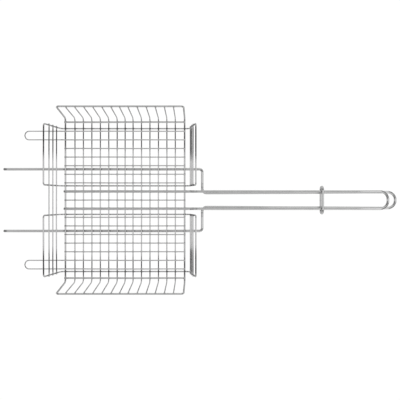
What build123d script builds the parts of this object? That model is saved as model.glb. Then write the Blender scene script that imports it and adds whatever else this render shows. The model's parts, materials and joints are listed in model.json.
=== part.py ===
from build123d import *
import os

# Deep wire grill basket with a press-down lid on its own long handle.
# A forked rod carries the basket: its two prongs run under the floor and stick out past the
# far wall, and its other end is the long lower handle. The lid is a flat wire mesh with two
# hairpin tongues that hook under the bars of the far wall, and an upper handle that lies on
# the lower one. A ring slid over both handles locks the lid.
#
# Frame, in millimetres: X runs along the handles, from the prong tips (-X) to the grip (+X),
# Y across the basket, Z up from the surface that the prongs stand on. The origin is the centre
# of the bounding box at that surface. Left and right are the user's, standing at the grip and
# facing the basket, so left is -Y.

# ---- Wire diameters -----------------------------------------------------------------------
ROD = 4.5                  # forked rod and lid handle
FRAME = 3.0                # rim frame, and the side edges of the lid
LOOP = 2.5                 # loops of the end walls
MESH = 2.0                 # cross wires, wall bars, lid mesh and tongues
RING = 4.0                 # locking ring

WELD = 0.25                # how deep one wire sinks into the next at a resistance weld
PLAY = 0.35                # clearance between pieces that move on each other
CUT_EDGE = 0.3             # broken edge of a cropped mesh wire
ROD_TIP = 0.9              # rounding of a rod's cut end

# ---- Basket plan --------------------------------------------------------------------------
HALF_LENGTH = 334.05       # prong tip and grip end, each side of the origin
FRAME_FAR_X = -227.8       # rim frame where it crosses the floor
FRAME_NEAR_X = -25.4
CROSS_MIDDLE_X = -126.5    # the middle one of the thin cross wires
CROSS_PITCHES = (13.45, 14.36, 14.36, 14.36, 14.36, 14.36)   # outward from it, both ways
FLOOR_HALF_WIDTH = 138.9   # where the rim frame turns up into a side wall
RIM_HALF_WIDTH = 148.8
RIM_HEIGHT = 60.0
CROSS_TOP_Z = 60.4         # cut ends of the cross wires
FLOOR_BEND = 7.0           # bend radius at the foot of a side wall
RIM_BEND = 5.0             # bend radius at a rim corner

# ---- End walls ----------------------------------------------------------------------------
LOOP_INNER_Y = 24.3        # legs each side of the gap that the lid handle passes through
LOOP_OUTER_Y = 121.7
LOOP_TOP_Z = 61.0
LOOP_FAR_X = (-235.7, -247.4)    # foot and top of the far wall
LOOP_NEAR_X = (-17.5, -5.9)      # foot and top of the near wall
LOOP_FOOT_BEND = 6.0
LOOP_TOP_BEND = 3.5
BAR_HEIGHTS = {"low": 23.7, "middle": 35.6, "high": 47.8}
FAR_BAR_HALF_LENGTH = 123.6
NEAR_BAR_OVERHANG = 1.6    # how far a near bar runs past the legs it is welded to

# ---- Forked rod ---------------------------------------------------------------------------
PRONG_Y = 52.6
CROSSBAR_X = 4.4
CROSSBAR_STEP_Y = (27.0, 21.0)   # where the crossbar steps up to the handle's height
CROSSBAR_STEP_BEND = 4.0
FORK_BEND = 5.0            # bend radius from a prong into the crossbar
NECK_BEND = 7.25           # and from the crossbar into the handle
LOWER_NECK_Y = 11.9        # half spacing of the lower handle at the crossbar
LOWER_GRIP_Y = 13.65       # and at the grip
GRIP_BEND = 13.3

# ---- Lid ----------------------------------------------------------------------------------
LID_PITCH = 14.53          # spacing of the lengthways wires
LID_LANES = 8              # lanes each side of the middle wire
HANDLE_LANE = 1            # the lid handle takes this lane on both sides
TONGUE_LANES = (7, 8)      # each tongue takes these two
LID_EDGE_Y = 131.65        # the thicker wires along the lid's side edges
LID_FAR_X = -228.3
LID_NEAR_X = -24.0
LID_CROSS_HALF_LENGTH = 133.8
LID_CROSS_ENDS_X = (-227.0, -25.3)     # the far and the near one of its cross wires
LID_CROSS_MIDDLE_X = -126.0
LID_CROSS_PITCHES = (13.4, 14.3, 14.3, 14.3, 14.3, 14.3)
TONGUE_TIP_X = -294.9
TONGUE_BEND = 7.2
UPPER_FAR_X = -229.1
UPPER_END_X = 317.4

# ---- Locking ring -------------------------------------------------------------------------
RING_X = 206.6
RING_HALF_WIDTH = 22.2
RING_BEND = 5.5

# ---- Heights worked out from the stack of wires --------------------------------------------
PRONG_Z = ROD / 2
FLOOR_Z = ROD                                   # top of the prongs and of the loops' feet
LOOP_Z = FLOOR_Z - LOOP / 2
CROSS_Z = FLOOR_Z - WELD + MESH / 2
FRAME_Z = FLOOR_Z - WELD + FRAME / 2
LID_CROSS_Z = FRAME_Z + FRAME / 2 + PLAY + MESH / 2
LID_TOP_Z = LID_CROSS_Z + MESH / 2
LID_WIRE_Z = LID_TOP_Z - WELD + MESH / 2
LID_EDGE_Z = LID_TOP_Z - WELD + FRAME / 2
UPPER_Z = LID_TOP_Z - WELD + ROD / 2
LOWER_Z = PRONG_Z + ROD                         # lower handle, one rod above the prongs
RING_LOW_Z = LOWER_Z - ROD / 2 - PLAY - RING / 2
RING_HIGH_Z = UPPER_Z + ROD / 2 + PLAY + RING / 2


def save(name, solid):
    """Label a finished piece and write it as one STEP file."""
    solid.label = name
    export_step(solid, f"parts/{name}.step")


def across(distance):
    """The upright plane that faces along Y, at this distance to the right of the middle."""
    return Plane(origin=(0, distance, 0), z_dir=(0, 1, 0))


def straight_wire(name, start, end, diameter):
    """A cropped straight wire with its cut edges broken."""
    run = Vector(*end) - Vector(*start)
    with BuildPart() as wire:
        with BuildSketch(Plane(origin=start, z_dir=run)):
            Circle(diameter / 2)
        extrude(amount=run.length)
        chamfer(wire.edges().filter_by(GeomType.CIRCLE), CUT_EDGE)
    save(name, wire.part)


def bent_wire(name, points, bends, diameter):
    """An open wire: straight runs joined by bends."""
    with BuildPart() as wire:
        with BuildLine() as path:
            FilletPolyline(*points, radius=bends)
        with BuildSketch(Plane(origin=path.line @ 0, z_dir=path.line % 0)):
            Circle(diameter / 2)
        sweep()
    save(name, wire.part)


def mirrored_wire(name, points, bends, diameter, plane, tip=None):
    """A wire that is its own mirror image: one half is swept and mirrored in the plane.

    tip rounds the cut ends of an open one.
    """
    with BuildPart() as wire:
        with BuildLine() as path:
            FilletPolyline(*points, radius=bends)
        with BuildSketch(Plane(origin=path.line @ 0, z_dir=path.line % 0)):
            Circle(diameter / 2)
        sweep()
        if tip:
            end = wire.faces().filter_by(GeomType.PLANE).sort_by(Axis.X)[0]
            fillet(end.edges(), tip)
        mirror(about=plane)
    save(name, wire.part)


def cross_places(middle, pitches):
    """X of each thin cross wire, from the far wall to the near wall."""
    reach = [sum(pitches[:step]) for step in range(1, len(pitches) + 1)]
    return [middle - x for x in reversed(reach)] + [middle] + [middle + x for x in reach]


def wall_x(wall, height):
    """X of an end wall's leg at a height: wall is its foot and top."""
    foot, top = wall
    return foot + (top - foot) * (height - LOOP_Z) / (LOOP_TOP_Z - LOOP_Z)


# ---- Basket -------------------------------------------------------------------------------
def make_fork_handle():
    """One bent rod: prong, crossbar, long handle loop, crossbar, prong."""
    grip_x = HALF_LENGTH - ROD / 2
    half = [
        (-HALF_LENGTH, PRONG_Y, PRONG_Z),
        (CROSSBAR_X, PRONG_Y, PRONG_Z),
        (CROSSBAR_X, CROSSBAR_STEP_Y[0], PRONG_Z),
        (CROSSBAR_X, CROSSBAR_STEP_Y[1], LOWER_Z),
        (CROSSBAR_X, LOWER_NECK_Y, LOWER_Z),
        (grip_x, LOWER_GRIP_Y, LOWER_Z),
        (grip_x, 0, LOWER_Z),
    ]
    bends = [FORK_BEND, CROSSBAR_STEP_BEND, CROSSBAR_STEP_BEND, NECK_BEND, GRIP_BEND]
    mirrored_wire("fork_handle", half, bends, ROD, Plane.XZ, tip=ROD_TIP)


def make_rim_frame():
    """A closed wire: across the floor at each end, up the sides and along both rims."""
    half = [
        (FRAME_FAR_X, 0, FRAME_Z),
        (FRAME_FAR_X, FLOOR_HALF_WIDTH, FRAME_Z),
        (FRAME_FAR_X, RIM_HALF_WIDTH, RIM_HEIGHT),
        (FRAME_NEAR_X, RIM_HALF_WIDTH, RIM_HEIGHT),
        (FRAME_NEAR_X, FLOOR_HALF_WIDTH, FRAME_Z),
        (FRAME_NEAR_X, 0, FRAME_Z),
    ]
    bends = [FLOOR_BEND, RIM_BEND, RIM_BEND, FLOOR_BEND]
    mirrored_wire("rim_frame", half, bends, FRAME, Plane.XZ)


def make_cross_wires():
    """Thin U-shaped wires: the floor and both side walls, welded inside the rims."""
    top_y = RIM_HALF_WIDTH - (FRAME + MESH) / 2 + WELD
    for number, x in enumerate(cross_places(CROSS_MIDDLE_X, CROSS_PITCHES), start=1):
        points = [
            (x, -top_y, CROSS_TOP_Z),
            (x, -FLOOR_HALF_WIDTH, CROSS_Z),
            (x, FLOOR_HALF_WIDTH, CROSS_Z),
            (x, top_y, CROSS_TOP_Z),
        ]
        bent_wire(f"cross_wire_{number:02d}", points, [FLOOR_BEND] * 2, MESH)


def make_end_loops():
    """Closed loops, one on each side: lengthways under the floor and up into both end walls."""
    middle = (LOOP_INNER_Y + LOOP_OUTER_Y) / 2
    for name, side in (("end_loop_right", 1), ("end_loop_left", -1)):
        half = [
            (LOOP_FAR_X[1], side * middle, LOOP_TOP_Z),
            (LOOP_FAR_X[1], side * LOOP_OUTER_Y, LOOP_TOP_Z),
            (LOOP_FAR_X[0], side * LOOP_OUTER_Y, LOOP_Z),
            (LOOP_NEAR_X[0], side * LOOP_OUTER_Y, LOOP_Z),
            (LOOP_NEAR_X[1], side * LOOP_OUTER_Y, LOOP_TOP_Z),
            (LOOP_NEAR_X[1], side * middle, LOOP_TOP_Z),
        ]
        bends = [LOOP_TOP_BEND, LOOP_FOOT_BEND, LOOP_FOOT_BEND, LOOP_TOP_BEND]
        mirrored_wire(name, half, bends, LOOP, across(side * middle))


def make_wall_bars():
    """Bars welded inside the end walls' legs. The near wall's leave a gap for the lid handle."""
    inset = (LOOP + MESH) / 2 - WELD
    for level, height in BAR_HEIGHTS.items():
        far_x = wall_x(LOOP_FAR_X, height) + inset
        start = (far_x, -FAR_BAR_HALF_LENGTH, height)
        end = (far_x, FAR_BAR_HALF_LENGTH, height)
        straight_wire(f"far_bar_{level}", start, end, MESH)

        near_x = wall_x(LOOP_NEAR_X, height) - inset
        for name, side in (("right", 1), ("left", -1)):
            start = (near_x, side * (LOOP_INNER_Y - NEAR_BAR_OVERHANG), height)
            end = (near_x, side * (LOOP_OUTER_Y + NEAR_BAR_OVERHANG), height)
            straight_wire(f"near_bar_{name}_{level}", start, end, MESH)


# ---- Lid ----------------------------------------------------------------------------------
def make_lid_handle():
    """The upper handle: one long hairpin along the lid and on over the lower handle."""
    lane = HANDLE_LANE * LID_PITCH
    half = [
        (UPPER_FAR_X, lane, UPPER_Z),
        (UPPER_END_X, lane, UPPER_Z),
        (UPPER_END_X, 0, UPPER_Z),
    ]
    mirrored_wire("lid_handle", half, [GRIP_BEND], ROD, Plane.XZ, tip=ROD_TIP)


def make_lid_wires():
    """Lengthways wires of the lid, in every lane that neither handle nor tongue takes."""
    taken = {HANDLE_LANE, *TONGUE_LANES}
    lanes = [lane for lane in range(-LID_LANES, LID_LANES + 1) if abs(lane) not in taken]
    for number, lane in enumerate(lanes, start=1):
        y = lane * LID_PITCH
        start = (LID_FAR_X, y, LID_WIRE_Z)
        end = (LID_NEAR_X, y, LID_WIRE_Z)
        straight_wire(f"lid_wire_{number:02d}", start, end, MESH)


def make_lid_edges():
    """The thicker wires along the two side edges of the lid."""
    for name, side in (("right", 1), ("left", -1)):
        start = (LID_FAR_X, side * LID_EDGE_Y, LID_EDGE_Z)
        end = (LID_NEAR_X, side * LID_EDGE_Y, LID_EDGE_Z)
        straight_wire(f"lid_edge_wire_{name}", start, end, FRAME)


def make_lid_tongues():
    """Hairpins that run on past the lid's far edge and hook under the far wall's bars."""
    inner, outer = (lane * LID_PITCH for lane in TONGUE_LANES)
    for name, side in (("lid_tongue_right", 1), ("lid_tongue_left", -1)):
        points = [
            (LID_NEAR_X, side * inner, LID_WIRE_Z),
            (TONGUE_TIP_X, side * inner, LID_WIRE_Z),
            (TONGUE_TIP_X, side * outer, LID_WIRE_Z),
            (LID_NEAR_X, side * outer, LID_WIRE_Z),
        ]
        bent_wire(name, points, [TONGUE_BEND] * 2, MESH)


def make_lid_cross_wires():
    """Crossways wires under the lid, above the basket's own cross wires and frame."""
    far_x, near_x = LID_CROSS_ENDS_X
    places = [far_x, *cross_places(LID_CROSS_MIDDLE_X, LID_CROSS_PITCHES), near_x]
    for number, x in enumerate(places, start=1):
        start = (x, -LID_CROSS_HALF_LENGTH, LID_CROSS_Z)
        end = (x, LID_CROSS_HALF_LENGTH, LID_CROSS_Z)
        straight_wire(f"lid_cross_wire_{number:02d}", start, end, MESH)


# ---- Lock ---------------------------------------------------------------------------------
def make_lock_ring():
    """A closed oblong ring around both handles."""
    half = [
        (RING_X, 0, RING_LOW_Z),
        (RING_X, RING_HALF_WIDTH, RING_LOW_Z),
        (RING_X, RING_HALF_WIDTH, RING_HIGH_Z),
        (RING_X, 0, RING_HIGH_Z),
    ]
    mirrored_wire("lock_ring", half, [RING_BEND] * 2, RING, Plane.XZ)


os.makedirs("parts", exist_ok=True)
make_fork_handle()
make_rim_frame()
make_cross_wires()
make_end_loops()
make_wall_bars()
make_lid_handle()
make_lid_wires()
make_lid_edges()
make_lid_tongues()
make_lid_cross_wires()
make_lock_ring()
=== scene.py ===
"""Looks of the deep wire grill basket: drawn wires, resistance welds, bright plating, studio.

Every wire of the CAD model is redrawn as a finer swept tube with cropped or rounded ends,
the drawing lines of its surface and the slight bow of a straightened wire. The welds are
pieces of their own. Lengths are in millimetres unless a comment says otherwise, and become
metres in the meshes.
"""

import json
import math

import bpy
from mathutils import Matrix, Vector


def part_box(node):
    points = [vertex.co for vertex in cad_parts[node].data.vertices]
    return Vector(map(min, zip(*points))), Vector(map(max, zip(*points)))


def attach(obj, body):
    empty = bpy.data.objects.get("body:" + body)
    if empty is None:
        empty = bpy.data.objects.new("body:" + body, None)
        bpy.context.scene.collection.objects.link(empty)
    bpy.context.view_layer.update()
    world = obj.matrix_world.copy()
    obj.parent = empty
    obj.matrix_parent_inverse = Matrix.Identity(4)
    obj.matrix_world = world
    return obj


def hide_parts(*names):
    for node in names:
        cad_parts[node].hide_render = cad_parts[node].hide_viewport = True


MM = 0.001
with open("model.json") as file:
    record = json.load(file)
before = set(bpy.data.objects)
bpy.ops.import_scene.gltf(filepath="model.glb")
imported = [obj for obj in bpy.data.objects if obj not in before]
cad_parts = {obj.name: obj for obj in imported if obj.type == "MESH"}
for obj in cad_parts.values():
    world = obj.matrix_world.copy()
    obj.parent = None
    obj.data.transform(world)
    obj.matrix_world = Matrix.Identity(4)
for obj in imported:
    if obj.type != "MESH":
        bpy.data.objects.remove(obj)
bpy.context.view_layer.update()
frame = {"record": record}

SLOT_OF = {row["node"]: row["material_slot"] for row in frame["record"]["subparts"]}
BODY_OF = {node_name: body for body, names in frame["record"]["behaviour"]["bodies"].items()
           for node_name in names}

# ---- Wires, as in the CAD source ------------------------------------------------------------
ROD, RING, FRAME, LOOP, MESH = 4.5, 4.0, 3.0, 2.5, 2.0     # diameters
WELD = 0.25                                 # how deep one wire sinks into the next
FORK_BEND, STEP_BEND, NECK_BEND, GRIP_BEND = 5.0, 4.0, 7.25, 13.3
FLOOR_BEND, RIM_BEND = 7.0, 5.0
LOOP_FOOT_BEND, LOOP_TOP_BEND = 6.0, 3.5
TONGUE_BEND, RING_BEND = 7.2, 5.5
FLOOR_TURN_Y, FLOOR_TURN_Z = 138.9, 5.75    # where the rim frame would turn without its bend
RIM_Z = 60.0
FAR, NEAR = 0, 1                            # the two end walls, in the pairs below
LOOP_FOOT_X = (-235.7, -17.5)
LOOP_TOP_X = (-247.4, -5.9)
LOOP_TOP_Z, LOOP_FOOT_Z = 61.0, 3.25
LOOP_INNER_Y, LOOP_OUTER_Y = 24.3, 121.7
LOOP_JOINT_Y = (LOOP_INNER_Y + LOOP_OUTER_Y) / 2    # where a loop's two ends meet
LEG_Y = (-LOOP_OUTER_Y, -LOOP_INNER_Y, LOOP_INNER_Y, LOOP_OUTER_Y)
PRONG_Y, CROSSBAR_X = 52.6, 4.4
CROSSBAR_STEP_Y = (27.0, 21.0)              # where the crossbar steps up to the handle's height
LOWER_NECK_Y, LOWER_GRIP_Y = 11.9, 13.65
TONGUE_Y = (101.71, 116.24)                 # the two legs of a tongue
BARS = [f"{wall}_{level}" for wall in ("far_bar", "near_bar_right", "near_bar_left")
        for level in ("low", "middle", "high")]

# ---- What the redrawn wires add ---------------------------------------------------------------
SIDES = {ROD: 32, RING: 32, FRAME: 28, LOOP: 24, MESH: 20}  # facets round each wire
RING_STEP = 8.0                 # spacing of the rings along a straight run
ARC_STEP = math.radians(9)      # and round a bend
STRAIGHT = 1e-4                 # a smaller turn, in radians, is no bend
CROPPED, ROUNDED = 0.3, 0.9     # radius of a wire's broken end, and of a rod's
END_SLOPES = (90, 60, 30, 0)    # degrees, from the face of a rounded end to the wire's side

BOW = 0.072                     # stray of a drawn wire from its straight line, in its longer wave
BOW_WAVES = ((41, 1.7, 1.0), (23, 2.9, 0.6))    # length per radian, shift per seed, share
BOW_FADE = 12                   # distance from an end at which the stray is whole
UPRIGHT = 0.2                   # a run of which a smaller share is level doesn't stray
# A wire's stray follows from its seed. Each kind of wire counts on from its first one.
FIRST_SEED = {"fork_handle": 1, "cross_wire": 1, "bar": 20, "lid_handle": 2, "lid_wire": 41,
              "lid_edge_wire": 55, "lid_tongue": 60, "lid_cross_wire": 71}
DROOP = 0.9                     # of the end walls' level wires, at their outer ends
DROOP_RISE = 12                 # height above a loop's foot over which the droop sets in

CROSS_WELD = (1.6, 0.55)        # half width and half height, against the thinner wire's radius
BUTT_WELD = (1.12, 0.4)         # the same where a closed wire's two ends meet, along the wire
NUGGET_SIDES, NUGGET_RINGS = 12, 6
NUGGET_SWELLS = ((0.10, 2.4), (0.05, 5.3))      # share of the width, turn from weld to weld
NUGGET_LOBES, NUGGET_FILLETS = 0.06, 0.10       # shares: three lobes, and four between the wires


# ---- Places from the frame ----------------------------------------------------------------------
def box_of(node_name):
    """Lowest and highest corner of a CAD wire's box."""
    return [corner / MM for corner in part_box(node_name)]


def middle(node_name):
    """Centre and half size of a CAD wire's box."""
    low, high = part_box(node_name)
    return (low + high) / 2 / MM, (high - low) / 2 / MM


def family(start):
    """The CAD wires whose names start alike, in order."""
    return sorted(node_name for node_name in SLOT_OF if node_name.startswith(start))


def wall_x(end, height):
    """X of an end wall's leg at a height."""
    share = (height - LOOP_FOOT_Z) / (LOOP_TOP_Z - LOOP_FOOT_Z)
    return LOOP_FOOT_X[end] + (LOOP_TOP_X[end] - LOOP_FOOT_X[end]) * share


def mirrored(half):
    """The corners of a whole wire from those of its right half."""
    return half + [(x, -y, z) for x, y, z in reversed(half)]


# ---- Paths ------------------------------------------------------------------------------------
def bent(corners, bends):
    """The points of a wire bent at its corners: straight runs and tangent arcs."""
    corners = [Vector(corner) for corner in corners]
    points = [corners[0]]
    for before, at, after, radius in zip(corners, corners[1:], corners[2:], bends):
        inward, outward = (at - before).normalized(), (after - at).normalized()
        turn = inward.angle(outward)
        if turn < STRAIGHT:
            points.append(at)
            continue
        axis = inward.cross(outward).normalized()
        start = at - inward * (radius * math.tan(turn / 2))
        centre = start + axis.cross(inward) * radius
        steps = max(2, math.ceil(turn / ARC_STEP))
        for step in range(steps + 1):
            spin = Matrix.Rotation(turn * step / steps, 3, axis)
            points.append(centre + spin @ (start - centre))
    points.append(corners[-1])
    return points


def spaced(points):
    """The same path with extra points along its long runs."""
    path = [points[0]]
    for here, there in zip(points, points[1:]):
        parts = max(1, round((there - here).length / RING_STEP))
        path += [here.lerp(there, part / parts) for part in range(1, parts + 1)]
    return path


def bowed(path, seed):
    """The path with the slight sideways stray of a straightened wire, none at its ends."""
    lengths = [0.0]
    for here, there in zip(path, path[1:]):
        lengths.append(lengths[-1] + (there - here).length)
    moved = []
    for index, (point, along) in enumerate(zip(path, lengths)):
        run = path[min(index + 1, len(path) - 1)] - path[max(index - 1, 0)]
        side = run.cross(Vector((0, 0, 1)))
        stray = sum(share * math.sin(along / length + seed * shift)
                    for length, shift, share in BOW_WAVES)
        fade = min(1.0, along / BOW_FADE, (lengths[-1] - along) / BOW_FADE)
        if side.length > UPRIGHT * run.length:
            point = point + side.normalized() * (BOW * stray * fade)
        moved.append(point)
    return moved


def drooping(path):
    """The path of an end wall's bar or loop: its level wires droop towards the basket's corners."""
    low = LOOP_FOOT_Z + LOOP_FOOT_BEND
    moved = []
    for point in path:
        share = max(0.0, min(1.0, (point.z - low) / DROOP_RISE))
        moved.append(point - Vector((0, 0, DROOP * share * (point.y / LOOP_OUTER_Y) ** 2)))
    return moved


# ---- Meshes -------------------------------------------------------------------------------------
def add_mesh(name, corners, faces):
    """A new smooth object in the scene."""
    mesh = bpy.data.meshes.new(name)
    mesh.from_pydata([corner * MM for corner in corners], [], faces)
    mesh.polygons.foreach_set("use_smooth", [True] * len(faces))
    made = bpy.data.objects.new(name, mesh)
    bpy.context.scene.collection.objects.link(made)
    return made


def carried(path, closed):
    """Tangents, normals carried along a path without twist, and the twist left where it closes."""
    count = len(path)
    near = [path[i - 1] if closed or i else path[0] for i in range(count)]
    far = [path[(i + 1) % count] if closed or i < count - 1 else path[-1] for i in range(count)]
    tangents = [(b - a).normalized() for a, b in zip(near, far)]

    normals = [tangents[0].orthogonal().normalized()]
    for before, after in zip(tangents, tangents[1:]):
        normal = before.rotation_difference(after) @ normals[-1]
        normals.append((normal - after * normal.dot(after)).normalized())

    twist = 0.0
    if closed:
        last = tangents[-1].rotation_difference(tangents[0]) @ normals[-1]
        twist = math.atan2(last.cross(normals[0]).dot(tangents[0]), last.dot(normals[0]))
    return tangents, normals, twist


def with_round_ends(rings, end_round):
    """The rings of an open wire, with its first and last one drawn in over a rounded edge."""
    (first, ahead, side, radius), (last, back, edge, _) = rings[0], rings[-1]
    slopes = [math.radians(angle) for angle in END_SLOPES]
    profile = [(end_round * (1 - math.sin(slope)), radius - end_round * (1 - math.cos(slope)))
               for slope in slopes]
    head = [(first + ahead * deep, ahead, side, size) for deep, size in profile]
    tail = [(last - back * deep, back, edge, size) for deep, size in reversed(profile)]
    return head + rings[1:-1] + tail


def tube(name, path, diameter, end_round=CROPPED, closed=False):
    """A round wire swept along a path. UV runs round the wire and, in metres, along it."""
    sides = SIDES[diameter]
    tangents, normals, twist = carried(path, closed)
    rings = list(zip(path, tangents, normals, [diameter / 2] * len(path)))
    if not closed:
        rings = with_round_ends(rings, end_round)

    corners, lengths, along = [], [], 0.0
    for index, (point, tangent, across, size) in enumerate(rings):
        if index:
            along += (point - rings[index - 1][0]).length
        lengths.append(along * MM)
        spun = Matrix.Rotation(twist * index / len(rings), 3, tangent) @ across
        other = tangent.cross(spun)
        for side in range(sides):
            angle = 2 * math.pi * side / sides
            corners.append(point + (spun * math.cos(angle) + other * math.sin(angle)) * size)
    closing = lengths[-1] + (path[0] - path[-1]).length * MM    # length once round a closed wire

    faces, uvs = [], []
    for index in range(len(rings) if closed else len(rings) - 1):
        following = (index + 1) % len(rings)
        end = lengths[following] if following else closing
        for side in range(sides):
            beside = (side + 1) % sides
            faces.append((index * sides + side, index * sides + beside,
                          following * sides + beside, following * sides + side))
            left, right = side / sides, (side + 1) / sides
            uvs += [(left, lengths[index]), (right, lengths[index]), (right, end), (left, end)]
    if not closed:
        for ring, order in ((0, -1), (len(rings) - 1, 1)):
            corners.append(rings[ring][0])
            for side in range(sides)[::order]:
                beside = (side + order) % sides
                faces.append((ring * sides + side, ring * sides + beside, len(corners) - 1))
                uvs += [(side / sides, lengths[ring])] * 3

    piece = add_mesh(name, corners, faces)
    layer = piece.data.uv_layers.new(name="UVMap")
    for loop, uv in zip(layer.data, uvs):
        loop.uv = uv
    piece.data.validate()
    return piece


def nugget(centre, axis, width, height, number):
    """Corners and faces of one weld: a flattened drop round the contact of two wires.

    Its axis points from one wire to the other. No two are quite alike.
    """
    turn = Vector((0, 0, 1)).rotation_difference(axis).to_matrix()
    swell = 1 + sum(share * math.sin(number * step) for share, step in NUGGET_SWELLS)
    corners = [centre - axis * height]
    for ring in range(1, NUGGET_RINGS):
        polar = math.pi * ring / NUGGET_RINGS
        for side in range(NUGGET_SIDES):
            angle = 2 * math.pi * side / NUGGET_SIDES
            lobes = NUGGET_LOBES * math.sin(3 * angle + number) - NUGGET_FILLETS * math.cos(4 * angle)
            reach = width * swell * (1 + lobes) * math.sin(polar)
            offset = Vector((reach * math.cos(angle), reach * math.sin(angle), -height * math.cos(polar)))
            corners.append(centre + turn @ offset)
    corners.append(centre + axis * height)

    faces, last = [], len(corners) - 1
    for side in range(NUGGET_SIDES):
        beside = (side + 1) % NUGGET_SIDES
        faces.append((0, 1 + beside, 1 + side))
        for ring in range(NUGGET_RINGS - 2):
            low, high = 1 + ring * NUGGET_SIDES, 1 + (ring + 1) * NUGGET_SIDES
            faces.append((low + side, low + beside, high + beside, high + side))
        faces.append((last - NUGGET_SIDES + side, last - NUGGET_SIDES + beside, last))
    return corners, faces


# ---- Materials ------------------------------------------------------------------------------------
TINT = 0.6                              # grey of the plating's reflection at a glancing angle
CLOUDS, PATCHES, LINES = (55.0, 3.0), (170.0, 2.0), (1.0, 4.0)      # noises: scale, detail
LINE_STRETCH = (48.0, 22.0, 1.0)        # of the drawing lines' noise: round the wire, along it
LINE_HEIGHT = 0.00004                   # metres
WIRE_LINES, WELD_LINES = 0.06, 0.25     # how strongly they show


def node(tree, kind, **settings):
    """A new node in a tree."""
    made = tree.nodes.new(kind)
    for key, value in settings.items():
        setattr(made, key, value)
    return made


def noise(tree, vector, scale, detail):
    """A noise between 0 and 1."""
    made = node(tree, "ShaderNodeTexNoise")
    made.inputs["Scale"].default_value = scale
    made.inputs["Detail"].default_value = detail
    tree.links.new(vector, made.inputs["Vector"])
    return made.outputs["Fac"]


def grey(value):
    return (value, value, value, 1.0)


def ramp(tree, factor, low, high, start=0.35, stop=0.65):
    """A grey that follows a factor from one value to another."""
    made = node(tree, "ShaderNodeValToRGB")
    first, second = made.color_ramp.elements
    first.position, second.position = start, stop
    first.color, second.color = grey(low), grey(high)
    tree.links.new(factor, made.inputs["Fac"])
    return made.outputs["Color"]


def spread(tree, factor, low, high, start=0.3, stop=0.7):
    """A number that follows a factor from one value to another."""
    made = node(tree, "ShaderNodeMapRange", clamp=True)
    tree.links.new(factor, made.inputs["Value"])
    for key, value in (("From Min", start), ("From Max", stop), ("To Min", low), ("To Max", high)):
        made.inputs[key].default_value = value
    return made.outputs["Result"]


def plating(name, tone, roughness, lines=WIRE_LINES):
    """Bright plating on drawn wire: cloudy tone, patchy gloss, fine lines along the wire."""
    material = bpy.data.materials.new(name)
    material.use_nodes = True
    tree = material.node_tree
    shader = tree.nodes["Principled BSDF"]
    shader.inputs["Metallic"].default_value = 1.0
    shader.inputs["Specular Tint"].default_value = grey(TINT)

    place = node(tree, "ShaderNodeTexCoord")
    clouds = noise(tree, place.outputs["Object"], *CLOUDS)
    tree.links.new(ramp(tree, clouds, *tone), shader.inputs["Base Color"])
    patches = noise(tree, place.outputs["Object"], *PATCHES)
    tree.links.new(spread(tree, patches, *roughness), shader.inputs["Roughness"])

    stretch = node(tree, "ShaderNodeMapping")
    stretch.inputs["Scale"].default_value = LINE_STRETCH
    tree.links.new(place.outputs["UV"], stretch.inputs["Vector"])
    bump = node(tree, "ShaderNodeBump")
    bump.inputs["Strength"].default_value = lines
    bump.inputs["Distance"].default_value = LINE_HEIGHT
    tree.links.new(noise(tree, stretch.outputs["Vector"], *LINES), bump.inputs["Height"])
    tree.links.new(bump.outputs["Normal"], shader.inputs["Normal"])
    return material


PLATINGS = {
    "rod_plating": plating("rod_plating", tone=(0.50, 0.54), roughness=(0.035, 0.075)),
    "frame_plating": plating("frame_plating", tone=(0.50, 0.54), roughness=(0.035, 0.08)),
    "mesh_plating": plating("mesh_plating", tone=(0.50, 0.54), roughness=(0.035, 0.08)),
    "ring_plating": plating("ring_plating", tone=(0.48, 0.52), roughness=(0.04, 0.10)),
}
WELD_PLATING = plating("weld_plating", tone=(0.44, 0.54), roughness=(0.09, 0.22), lines=WELD_LINES)


# ---- Wires and welds as pieces --------------------------------------------------------------------
def finish_wire(piece, node_name):
    """Dress a redrawn wire, hide the CAD wire that it stands for, and let it ride."""
    slot = SLOT_OF[node_name]
    piece.data.materials.append(PLATINGS[slot])
    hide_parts(node_name)
    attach(piece, BODY_OF[node_name])


def draw_bent(node_name, corners, bends, diameter, seed, end_round=CROPPED):
    """Redraw an open wire from its corners."""
    path = bowed(spaced(bent(corners, bends)), seed)
    finish_wire(tube(node_name + "_plated", path, diameter, end_round), node_name)


def draw_closed(node_name, corners, bends, diameter, droop=False):
    """Redraw a closed wire. Its corners start and end at the same point of a straight run."""
    path = spaced(bent(corners, bends))[:-1]
    if droop:
        path = drooping(path)
    finish_wire(tube(node_name + "_plated", path, diameter, closed=True), node_name)


def draw_straight(node_name, diameter, seed, droop=False):
    """Redraw a straight wire from its CAD box."""
    centre, half = middle(node_name)
    run = Vector((half.x, 0, 0)) if half.x > half.y else Vector((0, half.y, 0))
    path = bowed(spaced([centre - run, centre + run]), seed)
    if droop:
        path = drooping(path)
    finish_wire(tube(node_name + "_plated", path, diameter), node_name)


def weld_all(name, body, spots):
    """One piece with several welds of a body. A spot is a place, an axis, a radius and a kind."""
    corners, faces = [], []
    for number, (centre, axis, radius, (wide, high)) in enumerate(spots):
        drop, drop_faces = nugget(Vector(centre), Vector(axis).normalized(),
                                  radius * wide, radius * high, number)
        faces += [tuple(corner + len(corners) for corner in face) for face in drop_faces]
        corners += drop
    piece = add_mesh(name, corners, faces)
    piece.data.materials.append(WELD_PLATING)
    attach(piece, body)


# ---- Basket -----------------------------------------------------------------------------------------
rim_low, rim_high = box_of("rim_frame")
far_x, near_x, rim_y = rim_low.x + FRAME / 2, rim_high.x - FRAME / 2, rim_high.y - FRAME / 2

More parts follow.
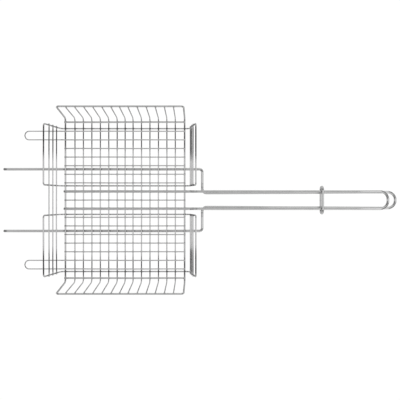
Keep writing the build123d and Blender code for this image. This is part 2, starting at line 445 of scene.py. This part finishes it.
CROSS_WIRES = family("cross_wire_")
cross_x = [middle(name)[0].x for name in CROSS_WIRES]
cross_low, cross_high = box_of(CROSS_WIRES[0])
cross_z = cross_low.z + MESH / 2                                # on the floor
cross_top_y, cross_top_z = cross_high.y - MESH / 2, cross_high.z


def draw_fork_handle():
    """One rod: prong, crossbar, long lower handle loop, crossbar, prong."""
    low, high = box_of("fork_handle")
    prong_z, lower_z, grip_x = ROD / 2, high.z - ROD / 2, high.x - ROD / 2
    bends = [FORK_BEND, STEP_BEND, STEP_BEND, NECK_BEND, GRIP_BEND]
    draw_bent("fork_handle", mirrored([
        (low.x, PRONG_Y, prong_z), (CROSSBAR_X, PRONG_Y, prong_z),
        (CROSSBAR_X, CROSSBAR_STEP_Y[0], prong_z), (CROSSBAR_X, CROSSBAR_STEP_Y[1], lower_z),
        (CROSSBAR_X, LOWER_NECK_Y, lower_z), (grip_x, LOWER_GRIP_Y, lower_z)]),
        bends + bends[::-1], ROD, FIRST_SEED["fork_handle"], ROUNDED)


def draw_rim_frame():
    """A closed wire across the floor at both ends, up the sides and along both rims."""
    draw_closed("rim_frame", [
        (far_x, 0, FLOOR_TURN_Z), (far_x, FLOOR_TURN_Y, FLOOR_TURN_Z), (far_x, rim_y, RIM_Z),
        (near_x, rim_y, RIM_Z), (near_x, FLOOR_TURN_Y, FLOOR_TURN_Z),
        (near_x, -FLOOR_TURN_Y, FLOOR_TURN_Z), (near_x, -rim_y, RIM_Z), (far_x, -rim_y, RIM_Z),
        (far_x, -FLOOR_TURN_Y, FLOOR_TURN_Z), (far_x, 0, FLOOR_TURN_Z)],
        [FLOOR_BEND, RIM_BEND, RIM_BEND, FLOOR_BEND] * 2, FRAME)


def draw_cross_wires():
    """U-shaped wires across the floor and up both side walls."""
    for seed, (name, x) in enumerate(zip(CROSS_WIRES, cross_x), FIRST_SEED["cross_wire"]):
        draw_bent(name, [(x, -cross_top_y, cross_top_z), (x, -FLOOR_TURN_Y, cross_z),
                         (x, FLOOR_TURN_Y, cross_z), (x, cross_top_y, cross_top_z)],
                  [FLOOR_BEND] * 2, MESH, seed)


def draw_end_loops():
    """Two closed wires, lengthways under the floor and up into both end walls."""
    for name, side in (("end_loop_right", 1), ("end_loop_left", -1)):
        inner, outer, joint = (side * y for y in (LOOP_INNER_Y, LOOP_OUTER_Y, LOOP_JOINT_Y))
        draw_closed(name, [
            (LOOP_TOP_X[FAR], joint, LOOP_TOP_Z), (LOOP_TOP_X[FAR], outer, LOOP_TOP_Z),
            (LOOP_FOOT_X[FAR], outer, LOOP_FOOT_Z), (LOOP_FOOT_X[NEAR], outer, LOOP_FOOT_Z),
            (LOOP_TOP_X[NEAR], outer, LOOP_TOP_Z), (LOOP_TOP_X[NEAR], inner, LOOP_TOP_Z),
            (LOOP_FOOT_X[NEAR], inner, LOOP_FOOT_Z), (LOOP_FOOT_X[FAR], inner, LOOP_FOOT_Z),
            (LOOP_TOP_X[FAR], inner, LOOP_TOP_Z), (LOOP_TOP_X[FAR], joint, LOOP_TOP_Z)],
            [LOOP_TOP_BEND, LOOP_FOOT_BEND, LOOP_FOOT_BEND, LOOP_TOP_BEND] * 2, LOOP, droop=True)


def draw_wall_bars():
    """The level bars of both end walls."""
    for seed, name in enumerate(BARS, FIRST_SEED["bar"]):
        draw_straight(name, MESH, seed, droop=True)


def weld_basket():
    """The basket's welds: on the floor, at the rims, at the walls' bars, in the closed wires."""
    floor_z = cross_z - MESH / 2 + WELD / 2
    welds = [((x, y, floor_z), (0, 0, 1), MESH / 2 if x in cross_x else LOOP / 2, CROSS_WELD)
             for x in [far_x, *cross_x, near_x] for y in (-PRONG_Y, PRONG_Y, *LEG_Y)]

    outward = Vector((0, cross_top_z - cross_z, FLOOR_TURN_Y - cross_top_y)).normalized()
    for x in cross_x:
        for side in (1, -1):
            axis = Vector((0, side * outward.y, outward.z))
            spot = Vector((x, side * rim_y, RIM_Z)) - axis * (FRAME / 2 - WELD / 2)
            welds.append((spot, axis, MESH / 2, CROSS_WELD))

    for name in BARS:
        centre, half = middle(name)
        leg_x = wall_x(NEAR if name.startswith("near") else FAR, centre.z)
        for y in LEG_Y:
            if abs(y - centre.y) < half.y:
                spot = drooping([Vector(((leg_x + centre.x) / 2, y, centre.z))])[0]
                welds.append((spot, (1, 0, 0), MESH / 2, CROSS_WELD))

    welds.append(((far_x, 0, FLOOR_TURN_Z), (0, 1, 0), FRAME / 2, BUTT_WELD))
    for side in (1, -1):
        spot = drooping([Vector((LOOP_TOP_X[FAR], side * LOOP_JOINT_Y, LOOP_TOP_Z))])[0]
        welds.append((spot, (0, 1, 0), LOOP / 2, BUTT_WELD))
    weld_all("basket_welds", "basket", welds)


# ---- Lid ----------------------------------------------------------------------------------------------
LID_WIRES, LID_CROSS_WIRES = family("lid_wire_"), family("lid_cross_wire_")
lid_handle_low, lid_handle_high = box_of("lid_handle")
upper_y, upper_z = lid_handle_high.y - ROD / 2, lid_handle_high.z - ROD / 2


def draw_lid_handle():
    """One rod along the lid and back, closed at the grip."""
    grip_x = lid_handle_high.x - ROD / 2
    draw_bent("lid_handle", mirrored([(lid_handle_low.x, upper_y, upper_z), (grip_x, upper_y, upper_z)]),
              [GRIP_BEND] * 2, ROD, FIRST_SEED["lid_handle"], ROUNDED)


def draw_lid_wires():
    """The lid's straight lengthways wires, the thicker ones along its edges last."""
    for seed, name in enumerate(LID_WIRES, FIRST_SEED["lid_wire"]):
        draw_straight(name, MESH, seed)
    for seed, name in enumerate(family("lid_edge_wire_"), FIRST_SEED["lid_edge_wire"]):
        draw_straight(name, FRAME, seed)


def draw_lid_tongues():
    """Two hairpins that reach out under the far wall's bars."""
    z = middle(LID_WIRES[0])[0].z
    sides = (("lid_tongue_right", 1), ("lid_tongue_left", -1))
    for seed, (name, side) in enumerate(sides, FIRST_SEED["lid_tongue"]):
        low, high = box_of(name)
        tip_x = low.x + MESH / 2
        inner, outer = (side * y for y in TONGUE_Y)
        draw_bent(name, [(high.x, inner, z), (tip_x, inner, z), (tip_x, outer, z), (high.x, outer, z)],
                  [TONGUE_BEND] * 2, MESH, seed)


def draw_lid_cross_wires():
    """The lid's crossways wires, under its lengthways ones."""
    for seed, name in enumerate(LID_CROSS_WIRES, FIRST_SEED["lid_cross_wire"]):
        draw_straight(name, MESH, seed)


def weld_lid():
    """A weld wherever a lengthways wire, tongue or handle rod lies over a crossways wire."""
    edge_y = middle("lid_edge_wire_right")[0].y
    lengthways_y = [middle(name)[0].y for name in LID_WIRES]
    lengthways_y += [side * y for y in (edge_y, upper_y, *TONGUE_Y) for side in (1, -1)]
    z = middle(LID_CROSS_WIRES[0])[0].z + MESH / 2 - WELD / 2
    weld_all("lid_welds", "lid",
             [((middle(name)[0].x, y, z), (0, 0, 1), MESH / 2, CROSS_WELD)
              for name in LID_CROSS_WIRES for y in lengthways_y])


# ---- Lock ring ------------------------------------------------------------------------------------------
def draw_lock_ring():
    """A closed ring round both handles, its two ends welded together at the bottom."""
    low, high = box_of("lock_ring")
    x, y = (low.x + high.x) / 2, high.y - RING / 2
    bottom, top = low.z + RING / 2, high.z - RING / 2
    draw_closed("lock_ring", [(x, 0, bottom), (x, y, bottom), (x, y, top),
                              (x, -y, top), (x, -y, bottom), (x, 0, bottom)],
                [RING_BEND] * 4, RING)
    weld_all("lock_ring_weld", "lock_ring",
             [((x, 0, bottom), (0, 1, 0), RING / 2, BUTT_WELD)])


# ---- Studio ---------------------------------------------------------------------------------------------
TABLE_HALF = 4000                       # half the side of the light table
TABLE_TONE, TABLE_ROUGHNESS, TABLE_GLOW = 0.06, 0.9, 0.98

# The tent's edges, in degrees. X and Y are how far a direction leans from straight up, along
# the basket and across it, and Z is its height above the horizon. The second number of a pair
# in brackets is how softly the edge fades to each side, where it isn't EDGE_FADE.
EDGE_FADE = 0.25
GAP_X, GAP_Y, GAP_Z = 18.5, 19.5, (3.0, 1.0)    # the dark gap overhead
FLANK_Y = 13.0                          # half width of the gap's two ends, down to GAP_Z
WINDOW_END_X = 23.0                     # the bright break in the end towards the grip
STRIP_FROM_Y, STRIP_TO_Y = (-6.7, 0.4), (5.8, 0.4)      # the bright strip that splits the gap
CURTAIN_X, CURTAIN_Y, CURTAIN_Z = (26.0, 2.0), (15.0, 2.0), (6.0, 3.0)
CURTAIN_SHARE = 0.8                     # how dark the curtains are, against the gap
BRIGHT, DARK = 1.0, 0.02                # greys of the tent and of its gap
STRENGTH, STRENGTH_X = (0.88, 1.18), (-0.34, 0.34)      # of its light, over a direction's X

SENSOR, LENS, CLIP = 36.0, 43.47, (0.01, 50.0)
CAMERA_PLACE = (0.00065, 0.00017, 0.826)                # metres


def light_table():
    """A light table, bright enough to show as white."""
    corners = [Vector((x, y, 0)) * TABLE_HALF for x, y in ((-1, -1), (1, -1), (1, 1), (-1, 1))]
    table = add_mesh("light_table", corners, [(0, 1, 2, 3)])
    material = bpy.data.materials.new("light_table")
    material.use_nodes = True
    shader = material.node_tree.nodes["Principled BSDF"]
    shader.inputs["Base Color"].default_value = grey(TABLE_TONE)
    shader.inputs["Roughness"].default_value = TABLE_ROUGHNESS
    shader.inputs["Emission Color"].default_value = grey(1.0)
    shader.inputs["Emission Strength"].default_value = TABLE_GLOW
    table.data.materials.append(material)


def studio_tent():
    """A white tent that reflects as a bright overhead strip between two dark gaps, brighter
    towards the grip, with a dark curtain in each corner. Past the object it is plain white."""
    world = bpy.data.worlds.new("tent")
    bpy.context.scene.world = world
    world.use_nodes = True
    tree = world.node_tree
    place = node(tree, "ShaderNodeTexCoord")
    split = node(tree, "ShaderNodeSeparateXYZ")
    tree.links.new(place.outputs["Generated"], split.inputs["Vector"])
    x, y, z = (split.outputs[axis] for axis in "XYZ")

    def computed(operation, *values):
        """The result of a Math node on numbers and other nodes' outputs."""
        made = node(tree, "ShaderNodeMath", operation=operation)
        for value, socket in zip(values, made.inputs):
            if isinstance(value, float):
                socket.default_value = value
            else:
                tree.links.new(value, socket)
        return made.outputs[0]

    def inverse(share):
        return computed("SUBTRACT", 1.0, share)

    def both(one, other):
        return computed("MULTIPLY", one, other)

    def beyond(value, degrees, fade=EDGE_FADE):
        """1 where a direction leans further than an angle, 0 where it leans less."""
        made = node(tree, "ShaderNodeMapRange", interpolation_type="SMOOTHSTEP")
        tree.links.new(value, made.inputs["Value"])
        for key, edge in (("From Min", degrees - fade), ("From Max", degrees + fade)):
            made.inputs[key].default_value = math.sin(math.radians(edge))
        return made.outputs["Result"]

    def within(value, degrees, fade=EDGE_FADE):
        return inverse(beyond(value, degrees, fade))

    along, across = computed("ABSOLUTE", x), computed("ABSOLUTE", y)
    overhead = both(within(along, GAP_X), within(across, GAP_Y))
    window = both(beyond(x, GAP_X), within(x, WINDOW_END_X))
    flank = both(within(across, FLANK_Y), inverse(window))
    strip = both(within(y, *STRIP_TO_Y), beyond(y, *STRIP_FROM_Y))
    gap = both(computed("MAXIMUM", overhead, flank), inverse(strip))
    gap = both(gap, beyond(z, *GAP_Z))
    curtain = both(beyond(along, *CURTAIN_X), beyond(across, *CURTAIN_Y))
    curtain = both(curtain, beyond(z, *CURTAIN_Z))
    dark = computed("MAXIMUM", gap, both(curtain, CURTAIN_SHARE))

    reflected = tree.nodes["Background"]
    tree.links.new(ramp(tree, dark, BRIGHT, DARK, 0.0, 1.0), reflected.inputs["Color"])
    tree.links.new(spread(tree, x, *STRENGTH, *STRENGTH_X), reflected.inputs["Strength"])
    plain = node(tree, "ShaderNodeBackground")
    plain.inputs["Color"].default_value = grey(1.0)
    seen, choice = node(tree, "ShaderNodeLightPath"), node(tree, "ShaderNodeMixShader")
    for output, socket in zip((seen.outputs["Is Camera Ray"], reflected.outputs[0], plain.outputs[0]),
                              choice.inputs):
        tree.links.new(output, socket)
    tree.links.new(choice.outputs[0], tree.nodes["World Output"].inputs["Surface"])


def camera():
    """The camera, straight above the middle."""
    data = bpy.data.cameras.new("camera")
    data.sensor_width, data.lens = SENSOR, LENS
    data.clip_start, data.clip_end = CLIP
    made = bpy.data.objects.new("camera", data)
    bpy.context.scene.collection.objects.link(made)
    made.location = CAMERA_PLACE
    bpy.context.scene.camera = made


draw_fork_handle()
draw_rim_frame()
draw_cross_wires()
draw_end_loops()
draw_wall_bars()
weld_basket()
draw_lid_handle()
draw_lid_wires()
draw_lid_tongues()
draw_lid_cross_wires()
weld_lid()
draw_lock_ring()
light_table()
studio_tent()
camera()
bpy.context.scene.view_settings.view_transform = "Standard"
